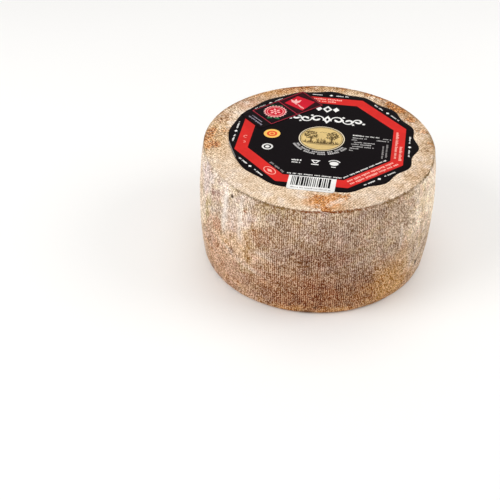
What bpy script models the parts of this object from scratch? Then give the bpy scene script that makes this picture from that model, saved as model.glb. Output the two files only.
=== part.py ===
"""A whole drum of aged cheese with its natural rind, a scalloped paper label on top and a paper
sticker that lies across one side of the label. Metres, +Z up, standing on Z = 0."""

import math

import bmesh
import bpy

# The drum, as a turned section: the top edge, the widest belly and the foot, and how many
# steps each stretch of it gets.
HEIGHT = 0.1020
RIM_RADIUS = 0.0957
BELLY_RADIUS = 0.0997
FOOT_RADIUS = 0.0970
BELLY_HEIGHT = 0.0500
RIM_ROUND = 0.0018
FOOT_ROUND = 0.0036
BELLY_POWER = 2.2
DRUM_STEPS = 96
SHARP_ANGLE = 40.0
SIDE_STEPS = 9
ROUND_STEPS = 4
FLAT_STEPS = 4

# A hand-made drum is a little out of round: waves round the rim, round the foot and up and down
# along the top's edge, as (waves per turn, size, angle in degrees of the first crest).
RIM_WAVES = ((1, 0.0016, 76.0), (2, 0.0003, -52.0), (3, 0.0013, 33.0), (4, 0.0002, -13.0))
FOOT_WAVES = ((1, 0.0009, 66.0), (2, 0.0006, 72.0))
TOP_DOME = 0.0003
TOP_WAVES = ((1, 0.0004, 121.0), (2, 0.0010, 88.0), (3, 0.00035, -30.0))

# Paper, thicker than the real 0.1 mm so that each sheet is a sound solid.
PAPER = 0.0004
GAP = 0.0003

# The label: sixteen lobes round its edge, and a straight edge under the barcode panel.
LABEL_CENTRE = (0.0026, 0.0077)
LABEL_RADIUS = 0.0781
LOBES = 16
LOBE_DEPTH = 0.0012
PANEL_HALF_WIDTH = 0.0186
PANEL_EDGE = 0.0766
PANEL_ANGLE = -90.0
LABEL_STEPS = 192
LABEL_RINGS = 3

# The sticker, laid square to the label's upper left side: its size, its middle from the
# label's centre along and across that side, and the rounding of its corners.
STICKER_LENGTH = 0.0685
STICKER_WIDTH = 0.0300
STICKER_ALONG = 0.0012
STICKER_OUT = 0.0565
STICKER_TURN = 45.0
STICKER_CORNER = 0.0025
STICKER_CORNER_STEPS = 3
STICKER_CELLS = (14, 6)

RIND_COLOUR = (0.60, 0.47, 0.34, 1.0)
LABEL_COLOUR = (0.012, 0.011, 0.012, 1.0)
STICKER_COLOUR = (0.10, 0.008, 0.012, 1.0)


def clear_scene():
    for thing in list(bpy.data.objects):
        bpy.data.objects.remove(thing)


def plain_material(name, colour, roughness):
    material = bpy.data.materials.new(name)
    material.use_nodes = True
    shader = material.node_tree.nodes["Principled BSDF"]
    shader.inputs["Base Color"].default_value = colour
    shader.inputs["Roughness"].default_value = roughness
    shader.inputs["Metallic"].default_value = 0.0
    return material


def waves(table, angle):
    return sum(
        size * math.cos(count * (angle - math.radians(crest)))
        for count, size, crest in table
    )


def top_change(x, y):
    """How far the top face lies above its rim height at a point of the drum."""
    share = math.hypot(x, y) / RIM_RADIUS
    angle = math.atan2(y, x)
    return TOP_DOME * (1.0 - share**2) + share**4 * waves(TOP_WAVES, angle)


def side_radius(z):
    """Radius of the drum's side, fullest at the belly."""
    if z > BELLY_HEIGHT:
        share = (z - BELLY_HEIGHT) / (HEIGHT - RIM_ROUND - BELLY_HEIGHT)
        return BELLY_RADIUS - (BELLY_RADIUS - RIM_RADIUS) * share**BELLY_POWER
    share = (BELLY_HEIGHT - z) / (BELLY_HEIGHT - FOOT_ROUND)
    return BELLY_RADIUS - (BELLY_RADIUS - FOOT_RADIUS) * share**BELLY_POWER


def drum_section():
    """Half the drum's outline as (radius, height) points, from the top's middle to the base's."""
    rim_flat = RIM_RADIUS - RIM_ROUND
    foot_flat = FOOT_RADIUS - FOOT_ROUND
    points = [(rim_flat * i / FLAT_STEPS, HEIGHT) for i in range(FLAT_STEPS)]
    for i in range(ROUND_STEPS):
        turn = math.pi / 2 * (1 - i / ROUND_STEPS)
        points.append(
            (
                rim_flat + RIM_ROUND * math.cos(turn),
                HEIGHT - RIM_ROUND + RIM_ROUND * math.sin(turn),
            )
        )
    top_of_side, foot_of_side = HEIGHT - RIM_ROUND, FOOT_ROUND
    for i in range(SIDE_STEPS + 1):
        z = top_of_side + (foot_of_side - top_of_side) * i / SIDE_STEPS
        points.append((side_radius(z), z))
    for i in range(1, ROUND_STEPS + 1):
        turn = math.pi / 2 * i / ROUND_STEPS
        points.append(
            (foot_flat + FOOT_ROUND * math.cos(turn), FOOT_ROUND - FOOT_ROUND * math.sin(turn))
        )
    points.append((0.0, 0.0))
    return points


def turned(name, section, steps):
    """The mesh that a section makes when it is turned once round Z."""
    mesh = bpy.data.meshes.new(name + "_section")
    verts = [(radius, 0.0, z) for radius, z in section]
    edges = [(i, i + 1) for i in range(len(section) - 1)]
    mesh.from_pydata(verts, edges, [])
    guide = bpy.data.objects.new(name + "_section", mesh)
    bpy.context.scene.collection.objects.link(guide)
    screw = guide.modifiers.new("turn", "SCREW")
    screw.axis = "Z"
    screw.steps = steps
    screw.render_steps = steps
    screw.use_merge_vertices = True
    screw.merge_threshold = 0.00001
    bpy.context.view_layer.update()
    done = guide.evaluated_get(bpy.context.evaluated_depsgraph_get())
    result = bpy.data.meshes.new_from_object(done)
    result.name = name
    bpy.data.objects.remove(guide)
    return result


def add_object(name, mesh, material, collection, parent):
    thing = bpy.data.objects.new(name, mesh)
    thing.data.materials.clear()
    thing.data.materials.append(material)
    collection.objects.link(thing)
    thing.parent = parent
    return thing


def make_drum(collection, parent):
    mesh = turned("cheese_drum", drum_section(), DRUM_STEPS)
    for vertex in mesh.vertices:
        x, y, z = vertex.co
        angle = math.atan2(y, x)
        up = (z / HEIGHT) ** 2
        wider = up * waves(RIM_WAVES, angle) + (1.0 - up) * waves(FOOT_WAVES, angle)
        x *= 1.0 + wider / BELLY_RADIUS
        y *= 1.0 + wider / BELLY_RADIUS
        z += up * top_change(x, y)
        vertex.co = (x, y, z)
    drum = add_object(
        "cheese_drum", mesh, plain_material("rind", RIND_COLOUR, 0.85), collection, parent
    )
    mesh.shade_smooth()
    mesh.set_sharp_from_angle(angle=math.radians(SHARP_ANGLE))
    return drum


def label_edge(angle):
    """Distance from the label's centre to its edge: lobes, and straight under the barcode panel."""
    from_panel = math.remainder(angle - math.radians(PANEL_ANGLE), 2 * math.pi)
    if abs(from_panel) < math.atan2(PANEL_HALF_WIDTH, PANEL_EDGE):
        return PANEL_EDGE / math.cos(from_panel)
    return LABEL_RADIUS + LOBE_DEPTH * math.cos(LOBES * angle)


def face_up(mesh):
    """Turns a sheet's faces so that they look up."""
    if mesh.polygons[0].normal.z < 0.0:
        mesh.flip_normals()


def thicken(sheet):
    solid = sheet.modifiers.new("thickness", "SOLIDIFY")
    solid.thickness = PAPER
    solid.offset = 1.0


def make_label(collection, parent):
    """A disc of rings, drawn out to the scalloped edge and laid over the drum's top."""
    section = [(i / LABEL_RINGS, 0.0) for i in range(LABEL_RINGS + 1)]
    mesh = turned("paper_label", section, LABEL_STEPS)
    centre_x, centre_y = LABEL_CENTRE
    for vertex in mesh.vertices:
        angle = math.atan2(vertex.co.y, vertex.co.x)
        radius = label_edge(angle) * math.hypot(vertex.co.x, vertex.co.y)
        x, y = radius * math.cos(angle), radius * math.sin(angle)
        z = HEIGHT + top_change(centre_x + x, centre_y + y) + GAP
        vertex.co = (x, y, z)
    face_up(mesh)
    label = add_object(
        "paper_label", mesh, plain_material("label", LABEL_COLOUR, 0.4), collection, parent
    )
    label.location = (centre_x, centre_y, 0.0)
    thicken(label)
    return label


def make_sticker(collection, parent):
    """A flat grid with rounded corners, turned square to the label's side and laid on it."""
    work = bmesh.new()
    bmesh.ops.create_grid(work, x_segments=STICKER_CELLS[0], y_segments=STICKER_CELLS[1], size=0.5)
    for vertex in work.verts:
        vertex.co.x *= STICKER_LENGTH
        vertex.co.y *= STICKER_WIDTH
    corners = [v for v in work.verts if len(v.link_faces) == 1]
    bmesh.ops.bevel(
        work,
        geom=corners,
        offset=STICKER_CORNER,
        segments=STICKER_CORNER_STEPS,
        profile=0.5,
        affect="VERTICES",
    )
    mesh = bpy.data.meshes.new("corner_sticker")
    work.to_mesh(mesh)
    work.free()
    turn = math.radians(STICKER_TURN)
    along, out = (math.cos(turn), math.sin(turn)), (-math.sin(turn), math.cos(turn))
    for vertex in mesh.vertices:
        u, v = vertex.co.x + STICKER_ALONG, vertex.co.y + STICKER_OUT
        x = LABEL_CENTRE[0] + along[0] * u + out[0] * v
        y = LABEL_CENTRE[1] + along[1] * u + out[1] * v
        vertex.co = (x, y, HEIGHT + top_change(x, y) + GAP + PAPER + GAP)
    face_up(mesh)
    sticker = add_object(
        "corner_sticker", mesh, plain_material("sticker", STICKER_COLOUR, 0.35), collection, parent
    )
    thicken(sticker)
    return sticker


def centre_on_origin(whole, drum):
    """Moves the whole so that the drum's box is centred over the origin."""
    xs = [vertex.co.x for vertex in drum.data.vertices]
    ys = [vertex.co.y for vertex in drum.data.vertices]
    whole.location.x = -(min(xs) + max(xs)) / 2
    whole.location.y = -(min(ys) + max(ys)) / 2


def main():
    clear_scene()
    collection = bpy.data.collections.new("aged_cheese")
    bpy.context.scene.collection.children.link(collection)
    whole = bpy.data.objects.new("whole", None)
    collection.objects.link(whole)
    drum = make_drum(collection, whole)
    make_label(collection, whole)
    make_sticker(collection, whole)
    centre_on_origin(whole, drum)
    bpy.context.view_layer.update()


main()
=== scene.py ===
import math
import random
from collections import namedtuple

import bpy
import numpy as np
from mathutils import Matrix, Vector, geometry, noise


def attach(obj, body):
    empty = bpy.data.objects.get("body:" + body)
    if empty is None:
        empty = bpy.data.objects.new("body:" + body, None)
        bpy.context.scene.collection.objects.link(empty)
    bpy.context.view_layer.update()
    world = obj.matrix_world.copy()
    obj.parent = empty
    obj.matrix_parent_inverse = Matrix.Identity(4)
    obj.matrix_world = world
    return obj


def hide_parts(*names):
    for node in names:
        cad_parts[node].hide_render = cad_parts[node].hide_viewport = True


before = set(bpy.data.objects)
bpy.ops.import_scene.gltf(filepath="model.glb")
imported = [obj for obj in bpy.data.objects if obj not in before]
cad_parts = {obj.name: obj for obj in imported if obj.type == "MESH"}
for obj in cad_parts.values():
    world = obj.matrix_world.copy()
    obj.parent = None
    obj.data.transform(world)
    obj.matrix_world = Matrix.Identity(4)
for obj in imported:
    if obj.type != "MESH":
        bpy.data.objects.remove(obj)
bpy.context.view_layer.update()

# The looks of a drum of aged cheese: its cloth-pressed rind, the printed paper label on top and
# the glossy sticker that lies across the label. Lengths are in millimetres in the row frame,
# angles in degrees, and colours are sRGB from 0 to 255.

MM = 0.001

# The drum's form, with the same values as its CAD solid.
AXIS = (-0.313, -0.707)
HEIGHT = 102.0
RIM_RADIUS = 95.7
BELLY_RADIUS = 99.7
FOOT_RADIUS = 97.0
BELLY_HEIGHT = 50.0
RIM_ROUND = 1.8
FOOT_ROUND = 3.6
BELLY_POWER = 2.2
RIM_WAVES = ((1, 1.6, 76.0), (2, 0.3, -52.0), (3, 1.3, 33.0), (4, 0.2, -13.0))
FOOT_WAVES = ((1, 0.9, 66.0), (2, 0.6, 72.0))
TOP_DOME = 0.3
TOP_WAVES = ((1, 0.4, 121.0), (2, 1.0, 88.0), (3, 0.35, -30.0))

# The rind's mesh: the cloth's ribs round the drum and the columns for each, the rows of the side
# and of its round edges, and how far in the fine rings of the base and of the top reach.
RIBS = 364
COLUMNS_PER_RIB = 4
COLUMNS = RIBS * COLUMNS_PER_RIB
SIDE_ROWS = 45
ROUND_STEPS = 4
BASE_FINE_INNER = 85.0
TOP_FINE_INNER = 70.0
TOP_FINE_ROWS = 8
# Rings where the mesh is coarser, as (radius, columns).
SPARSE = RIBS // 4
BASE_COARSE = ((11.0, SPARSE), (22.0, SPARSE), (40.0, RIBS), (58.0, RIBS), (76.0, RIBS))
TOP_COARSE = ((58.0, RIBS), (43.0, RIBS), (28.0, SPARSE), (14.0, SPARSE))

# The ribs: how high they are, how far they waver (in radians of one rib) over what size, the
# angle where they are clearest, how far they fade round to the back, how strong they are on the
# whole, and how much that changes in patches of a size. They fade in between two heights over
# the base, and out between two depths under the top.
RIB_DEPTH = 0.11
RIB_WAVER = 1.3
RIB_WAVER_SIZE = 34.0
RIB_FRONT = -82.0
RIB_FADE = 0.32
RIB_LEVEL = 0.72
RIB_CHANGE = 0.45
RIB_PATCH_SIZE = 17.0
RIB_FOOT = (0.5, 4.0)
RIB_TOP = (1.0, 5.0)
# Lumps of the side and of the top as (size across, height).
LUMPS = ((42.0, 0.60), (14.0, 0.28), (5.0, 0.10))
TOP_LUMPS = ((16.0, 0.18), (5.0, 0.07))
# The crease under the rim: its depth, and how much of that is even and how much in lumps.
CREASE_DEPTH = 0.35
CREASE_EVEN = 0.5
CREASE_LUMPS = 0.9
CREASE_LUMP_SIZE = 9.0
# How far past the label's lobes the top gets its full relief.
OPEN_TOP = 3.0
# Folds of the cloth as (angle, lowest, highest, half width, height, millimetres sideways for each
# millimetre up).
FOLDS = (
    (-131.0, 48.0, 101.0, 3.4, 0.50, 0.0),
    (-120.3, 54.0, 101.0, 2.6, 0.36, 0.0),
    (-146.0, 70.0, 101.0, 2.6, 0.15, 0.0),
    (-134.5, 42.0, 51.0, 1.6, 0.16, -5.0),
    (-127.0, 38.0, 50.0, 1.6, 0.16, -1.8),
    (-114.8, 32.0, 42.0, 2.2, 0.24, -3.2),
    (-106.8, 50.0, 58.0, 1.7, 0.16, -2.4),
    (-40.5, 46.0, 80.0, 1.6, 0.20, 0.0),
    (-28.0, 22.0, 46.0, 1.4, 0.14, 0.5),
    (152.0, 30.0, 96.0, 2.6, 0.32, 0.0),
    (66.0, 22.0, 84.0, 2.4, 0.28, 0.1),
    (31.0, 55.0, 101.0, 2.0, 0.26, 0.0),
)
# A fold of this height is as pale, with its painted highlight, as it can be.
PALE_FOLD = 0.5
# Folds sway from side to side by this much, over such a height, and their tops fade out in this.
FOLD_SWAY = 0.5
FOLD_SWAY_HEIGHT = 9.0
FOLD_TOP_FADE = 6.0

# Colours of the rind.
TOP_CREAM = (239, 213, 184)
TOP_TAN = (214, 178, 140)
TOP_BLOOM = (246, 227, 211)
SIDE_STONE = (204, 177, 154)
VIOLET = (168, 148, 144)
OCHRE = (188, 146, 92)
ORANGE = (219, 141, 44)
RUST = (180, 102, 32)
PINK = (206, 152, 126)
OLIVE = (124, 100, 58)
BROWN = (104, 72, 50)
FLECK = (232, 216, 196)
# Partly painted highlight: the pale laid on the crests of the folds.
FOLD_PALE_AND_HIGHLIGHT = (253, 242, 232)
# The side's broad light and dark, and its small clouds, as what they multiply its colour by.
BROAD_SHADES = ((0.96, 0.90, 0.84, 1.0), (1.07, 1.03, 0.99, 1.0))
BLOOM_CLOUD = (1.13, 1.16, 1.20, 1.0)
BARE_CLOUD = (0.72, 0.67, 0.63, 1.0)
VIOLET_CLOUD = (0.96, 0.96, 1.04, 1.0)
OCHRE_CLOUD = (1.00, 0.98, 0.85, 1.0)
PINK_CLOUD = (1.04, 0.97, 0.96, 1.0)

# How far the side's colours stray over its border with the top, how much of a fold's crest is pale,
# partly as a painted highlight, and the sizes of the rind's patterns, from broad clouds to single
# grains.
BORDER_STRAY = 3.0
FOLD_COVER = 0.8
BROAD_SIZE = 30.0
PATCH_SIZE = 11.0
HUE_SIZE = 9.0
CRUST_SIZE = 5.0
GRIT_SIZE = 2.4
DOT_SIZE = 1.7
CELL_SIZE = 0.68
GRAIN_SIZE = 0.62
# How tightly the grit and the grain are packed along X, Y and Z, as both are drawn out upwards,
# and how tightly the grain is packed on the top, where it is larger.
GRIT_PACKING = (1.0, 1.0, 0.7)
GRAIN_PACKING = (1.0, 1.0, 0.6)
TOP_PACKING = 0.84

# How strongly the parts of the grain show: fine noise, cells, ribs and grit, with more grit in
# the mould; and all of it at the side, on the top, in the mould, and how much less on folds.
FINE_GRAIN = 3.7
CELL_GRAIN = 1.25
RIB_GRAIN = 0.62
GRIT_GRAIN = 0.60
MOULD_GRIT = 2.4
SIDE_GRAIN = 1.06
TOP_GRAIN = 0.56
MOULD_GRAIN = 0.7
FOLD_CALM = 0.75
# Pale flecks and dark pits as (size of a cell, radius, share of the cells that have one, strength
# at the side, strength on the top).
FLECKS = (2.3, 0.62, 0.42, 0.55, 0.20)
PITS = (2.4, 0.62, 0.60, 0.85, 0.32)
# The cloth's threads on the top: which way they run, their spacing, and how far the grit moves
# them and how strongly they show.
THREAD_TURN = 60.0
THREAD_PITCH = 1.9
THREAD_WAVER = 1.2
THREAD_TONE = 0.16
# Contrast as (where it changes from, where to, before, after): along X on the side and on the
# top, and what is added along Y on the top.
SIDE_CONTRAST = (-90.0, -40.0, 1.30, 1.00)
TOP_CONTRAST = (-92.0, -62.0, 1.45, 0.95)
BACK_CONTRAST = (55.0, 88.0, 0.00, 0.40)
# How much lighter the lightest specks of the rind are than its darkest, as shares of white in
# red, green and blue as the eye counts them; the tone of those that keep its plain colour; the
# eye's gamma; and the least share of red, green and blue that is left.
SPECKLE = (0.45, 0.47, 0.48)
PLAIN_TONE = 0.58
EYE_GAMMA = 2.2
DARKEST = 0.05
# Crusts in the mould's zones as (colour, least noise, full noise, least cover, most cover).
CRUSTS = (
    (ORANGE, 0.42, 0.52, 0.05, 0.95),
    (RUST, 0.57, 0.67, 0.00, 0.62),
)
# The line of mould on the rim: half its width with its soft edge and without, how far it strays
# and over what size, the size of its dots, and how much further in it lies at the back.
RIM_LINE_EDGE = 1.9
RIM_LINE_FULL = 0.7
RIM_LINE_STRAY = 7.0
RIM_STRAY_SIZE = 3.0
RIM_DOT_SIZE = 1.4
RIM_LINE_INWARD = 2.5
# The rind's roughness where its grain is darkest and lightest, its gloss and its bump's depth.
RIND_ROUGHNESS = (0.95, 0.82)
RIND_GLOSS = 0.18
RIND_BUMP = 0.25

# Spots of colour: how far they reach into the drum, and the share of their size within which
# they are full. Their outlines are moved about by lumps as (size, reach), with a pattern of its
# own for each direction.
SPOT_DEPTH = 40.0
SPOT_FULL = 0.3
STRAYS = ((9.0, 6.0), (3.6, 2.5))
STRAY_SHIFTS = (11.0, 37.5, 73.0)
# How far the rim's mould reaches up and down.
RIM_MOULD_REACH = 20.0

# Broad soft colour of the side as (angle, height, half width, half height, colour, strength).
# Some rows of this table are partly painted light, as marked above them.
SIDE_WASHES_AND_PAINTED_LIGHT = (
    # Partly painted light: these two near-white washes of the left side also paint in more light
    # than the lamps give there.
    (-150, 75, 84, 90, (245, 230, 209), 1.00),
    (-124, 86, 42, 36, (251, 235, 222), 0.85),
    (-152, 92, 30, 24, (232, 216, 214), 0.80),
    (-132, 26, 62, 44, (208, 159, 121), 0.80),
    (-122, 52, 34, 38, (243, 210, 177), 0.85),
    (-82, 72, 60, 52, (200, 170, 150), 0.70),
    # Partly painted light: this warm brown low on the front also paints in warm light bounced up
    # from a wooden board.
    (-86, 20, 70, 40, (159, 99, 48), 0.95),
    (-42, 78, 58, 50, (193, 167, 142), 0.85),
    # Partly painted light: this near-white wash at the upper right also makes up for the light that
    # falls off there.
    (-14, 76, 50, 58, (255, 240, 219), 1.00),
    # Partly painted light: these two warm browns low on the front also paint in warm light bounced
    # up from a wooden board.
    (-44, 20, 54, 38, (193, 143, 76), 0.95),
    (-62, 18, 26, 24, (164, 104, 42), 0.60),
    (-122, 27, 24, 15, (176, 132, 106), 0.50),
    (-138, 50, 24, 22, (208, 164, 130), 0.45),
    (-105, 74, 20, 22, (178, 140, 110), 0.25),
    (-20, 34, 40, 34, (206, 186, 165), 0.85),
    (-61, 38, 22, 18, (146, 102, 76), 0.55),
    (-82, 60, 44, 16, (146, 98, 63), 0.75),
    (-100, 36, 34, 24, (190, 147, 113), 0.50),
    (24, 60, 54, 60, (196, 164, 136), 0.70),
    (62, 78, 60, 40, (216, 194, 170), 0.75),
    (58, 28, 46, 34, (170, 128, 102), 0.80),
    (104, 54, 56, 60, (192, 160, 134), 0.75),
    (148, 38, 46, 40, (198, 156, 116), 0.70),
    (172, 74, 56, 50, (222, 198, 174), 0.80),
    # Partly painted light: the foot's two warm bands at the front also paint in warm light bounced
    # up from a wooden board.
    (-84, -4, 110, 15, (224, 164, 86), 0.85),
    (-84, -3, 34, 8, (160, 108, 62), 0.65),
    (96, -2, 150, 18, (160, 110, 74), 0.80),
)
# Stains of the side as the washes are given, with broken edges.
SIDE_STAINS = (
    (-115.5, 54, 7, 27, (190, 144, 88), 0.90),
    (-111, 73, 8, 7, (190, 146, 90), 0.85),
    (-108, 70, 14, 12, (192, 136, 102), 0.65),
    (-113, 34, 7, 5, (206, 182, 138), 0.55),
    (-126, 42, 5, 5, (128, 72, 46), 0.90),
    (-99, 76, 15, 12, (184, 148, 108), 0.45),
    (-84, 70, 17, 7, (124, 86, 64), 0.50),
    (-71, 45, 13, 9, (134, 88, 62), 0.50),
    (-96, 48, 12, 7, (136, 96, 74), 0.40),
    (-60, 66, 14, 8, (142, 110, 90), 0.40),
    (-92, 92, 13, 10, (206, 170, 124), 0.65),
    (-104, 98, 20, 7, (192, 160, 102), 0.75),
    (-118, 88, 4.5, 6, (206, 128, 90), 0.90),
    (-137, 60, 12, 12, (206, 146, 112), 0.85),
    (-132.5, 53, 4.5, 5, (140, 110, 70), 0.80),
    (-141, 82, 8, 11, (190, 146, 138), 0.80),
    (-147, 66, 5, 22, (200, 180, 126), 0.75),
    (-147, 53, 2.5, 8, (150, 134, 90), 0.60),
    (-125.5, 72, 9, 24, (250, 230, 226), 0.70),
    (-116, 92, 12, 7, (178, 156, 108), 0.50),
    (-22, 84, 8, 12, (190, 160, 112), 0.50),
    (-24, 56, 5, 10, (178, 118, 78), 0.60),
    (-30, 52, 5, 6, (206, 178, 152), 0.60),
    (-52, 92, 16, 9, VIOLET, 0.60),
    (-72, 84, 24, 12, VIOLET, 0.55),
    (-104, 88, 14, 14, VIOLET, 0.45),
    (-118, 33, 10, 6, (240, 220, 184), 0.60),
    (-96, 26, 12, 9, (150, 112, 100), 0.55),
    (-112, 20, 10, 8, (198, 160, 122), 0.45),
    (-36, 30, 16, 9, (200, 162, 112), 0.55),
    (34, 40, 14, 22, OCHRE, 0.60),
    (82, 66, 10, 26, (184, 140, 88), 0.70),
    (112, 88, 14, 12, (204, 138, 90), 0.60),
    (132, 30, 16, 12, PINK, 0.55),
    (158, 60, 6, 22, OLIVE, 0.55),
    (6, 30, 16, 14, OCHRE, 0.50),
)
# Small dark marks of the side, given in the same way, with clean edges.
SIDE_MARKS = (
    (-127, 94, 2.1, 2.3, (60, 40, 30), 1.00),
    (-24, 21.5, 2.7, 3.6, (44, 26, 18), 1.00),
    (-29, 41, 1.1, 6.0, (112, 74, 52), 0.80),
    (-82, 7.5, 2.0, 1.8, BROWN, 0.90),
    (-94, 8.5, 1.8, 1.8, BROWN, 0.80),
    (-86, 2.2, 9.0, 2.4, BROWN, 0.80),
    (-102, 14, 1.8, 1.6, BROWN, 0.70),
    (48, 70, 1.8, 2.2, BROWN, 0.90),
    (118, 36, 1.6, 2.6, BROWN, 0.90),
    (176, 22, 2.0, 1.8, BROWN, 0.80),
)
# Broad soft colour of the top as (x, y, half width, half height, turn, colour, strength).
TOP_WASHES = (
    (-92, -3, 32, 40, 0, (229, 190, 141), 1.00),
    (-58, 70, 44, 20, 45, (193, 155, 126), 0.85),
    (-44, 84, 40, 16, 28, (208, 153, 86), 0.95),
    (0, 98, 78, 22, 0, (201, 157, 106), 1.00),
    (-30, 85, 22, 12, 16, (207, 138, 74), 0.75),
    (62, 74, 46, 24, -45, (176, 128, 76), 1.00),
    (96, 14, 20, 48, 0, (203, 169, 131), 0.95),
    (78, 44, 14, 20, -30, (196, 156, 112), 0.60),
    (-84, 27, 12, 14, 0, (194, 146, 102), 0.80),
    (88, -34, 24, 34, 0, (208, 174, 138), 0.80),
    (-66, 52, 14, 10, 45, (208, 152, 118), 0.60),
    (14, -83, 27, 14, 4, (225, 153, 82), 0.94),
    (-15, -84, 18, 12, -6, (226, 194, 158), 0.60),
    (58, -70, 44, 22, 35, (224, 199, 174), 0.80),
    (-62, -62, 36, 18, -45, (232, 207, 180), 0.70),
)
# Zones of orange mould on the top, which is broken up into crusts, given as the top's washes are
# but without a colour.
TOP_MOULD = (
    (-93, -2, 12, 20, 0, 0.85),
    (-88, 22, 9, 12, 0, 0.40),
    (-86, -19, 10, 12, 0, 0.95),
    (-79, 5, 9, 10, 0, 0.60),
    (-84, 42, 9, 9, 0, 0.35),
    (-66, 66, 16, 9, 45, 0.55),
    (-40, 84, 16, 7, 25, 0.55),
    (-25, 90, 18, 9, 14, 1.00),
    (14, 95, 22, 7, -6, 0.95),
    (40, 86, 20, 10, -28, 1.00),
    (60, 70, 20, 11, -48, 1.00),
    (74, 52, 13, 10, -55, 0.85),
    (84, 36, 9, 12, -65, 0.70),
    (91, 12, 6, 14, 0, 0.60),
    (10, -80, 12, 12, 0, 1.00),
    (13, -89, 9, 8, 0, 0.60),
    (23, -74, 14, 7, 10, 0.90),
    (16, -93, 20, 4, 4, 1.00),
    (34, -86, 12, 5, 20, 0.40),
    (-34, -76, 10, 6, -20, 0.35),
    (-60, -58, 10, 5, -45, 0.30),
)
# Mould in the rim's crease as (angle, half width, colour, strength).
RIM_MOULD = (
    (-100, 30, (140, 100, 46), 0.85),
    (-118, 26, (124, 98, 54), 0.65),
    (-68, 32, (140, 84, 42), 1.00),
    (-82, 26, (146, 74, 28), 1.00),
    (-44, 34, (126, 90, 46), 0.90),
    (-14, 34, (118, 90, 46), 1.00),
    (14, 22, (120, 90, 46), 0.90),
    (60, 60, (128, 76, 36), 0.95),
    (104, 44, (128, 76, 36), 0.95),
    (150, 40, (140, 92, 48), 0.90),
    (184, 34, (128, 86, 44), 0.90),
    (-152, 22, (176, 146, 108), 0.45),
)

# The label and the sticker, about the label's centre. Along and out are the sticker's own
# directions, which are turned with it.
LABEL_CENTRE = (AXIS[0] + 2.3, AXIS[1] + 7.1)
LABEL_RADIUS = 78.1
LOBES = 16
LOBE_DEPTH = 1.2
# The lobes' depth as a share of that, and how much it grows to the right and shrinks to the left.
LOBE_SHARE = 0.85
LOBE_CHANGE = 0.55
# How much nearer to the centre the edge is at the left.
LEFT_TRIM = 0.6
# The part of the edge that is turned up and nearly straight: how much nearer to the centre it is,
# its angle and its spread, and the line printed grey along it, partly for the paper's back that
# shows there and partly as a painted highlight on the turned-up edge.
TURNED_UP = 1.6
TURNED_UP_ANGLE = -157.0
TURNED_UP_SPREAD = 7.0
TURNED_UP_BACK_AND_HIGHLIGHT = ((-74.8, -18.0), (-70.2, -28.8), (-64.8, -40.2))
PANEL_HALF_WIDTH = 18.6
PANEL_EDGE = 76.6
PANEL_TOP = 57.7
BAND_OUTER = 68.1
BAND_INNER = 57.9
STICKER_LENGTH = 68.5
STICKER_WIDTH = 30.0
STICKER_ALONG = 1.2
STICKER_OUT = 56.5
STICKER_TURN = 45.0
STICKER_CORNER = 2.5
# The paper's thickness, and how high the label's and the sticker's faces lie over the drum.
PAPER = 0.15
PAPER_LIFT = 0.27
STICKER_LIFT = PAPER_LIFT + PAPER + 0.04
# The label's lifted edge: its angle, how far it spreads, how far in it starts and how high it is.
CURL_ANGLE = 196.0
CURL_SPREAD = 15.0
CURL_WIDTH = 7.0
CURL_HEIGHT = 0.9
# Points inside a sheet: how far apart they are, and the rows as a share of that; how much wider
# than its place a point has to clear the outline; and how near two points are when they are one.
PAPER_GRID = 3.5
GRID_ROWS = 0.87
GRID_CLEAR = 1.03
SAME_POINT = 1e-5

# The camera of the photograph, and the studio, in metres.
CAMERA_PLACE = (0.05988, -0.63866, 0.49920)
CAMERA_TURN = 10.4
CAMERA_DOWN = 38.586
CAMERA_ROLL = -0.115
CAMERA_LENS = 65.41
FLOOR_SIZE = 8.0
FLOOR_COLOUR = (247, 246, 244)
WHITE = (1.0, 1.0, 1.0, 1.0)
WORLD_LIGHT = 0.55
# Round soft lights as (name, place, width, watts).
LIGHTS = (
    ("key", (-1.05, -0.55, 0.95), 0.9, 9.0),
    ("right", (1.10, 0.10, 0.80), 0.9, 6.0),
    ("top", (0.0, 0.35, 1.50), 1.1, 5.0),
)


def smooth(value, low, high):
    """0 below low, 1 above high, and a soft step between; the other way round if low > high."""
    share = np.clip((value - low) / (high - low), 0.0, 1.0)
    return share * share * (3.0 - 2.0 * share)


def add_object(name, data):
    """A new object in the scene."""
    thing = bpy.data.objects.new(name, data)
    bpy.context.scene.collection.objects.link(thing)
    return thing


def waves(table, angle):
    return sum(
        size * np.cos(count * (angle - math.radians(crest))) for count, size, crest in table
    )


def top_change(x, y):
    """How far the top face lies above its rim height, at a point from the drum's axis."""
    share = np.hypot(x, y) / RIM_RADIUS
    return TOP_DOME * (1.0 - share**2) + share**4 * waves(TOP_WAVES, np.arctan2(y, x))


def top_height(x, y):
    """Height of the top face at a point of the row frame."""
    return HEIGHT + top_change(np.asarray(x) - AXIS[0], np.asarray(y) - AXIS[1])


def side_radius(z):
    if z > BELLY_HEIGHT:
        share = (z - BELLY_HEIGHT) / (HEIGHT - RIM_ROUND - BELLY_HEIGHT)
        return BELLY_RADIUS - (BELLY_RADIUS - RIM_RADIUS) * share**BELLY_POWER
    share = (BELLY_HEIGHT - z) / (BELLY_HEIGHT - FOOT_ROUND)
    return BELLY_RADIUS - (BELLY_RADIUS - FOOT_RADIUS) * share**BELLY_POWER


# One ring of the drum's mesh: its radius and height, how far its surface looks outwards and up,
# from -1 to 1, and how many points it has. A ring of one point is a pole.
Ring = namedtuple("Ring", "radius height out up columns")


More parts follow.
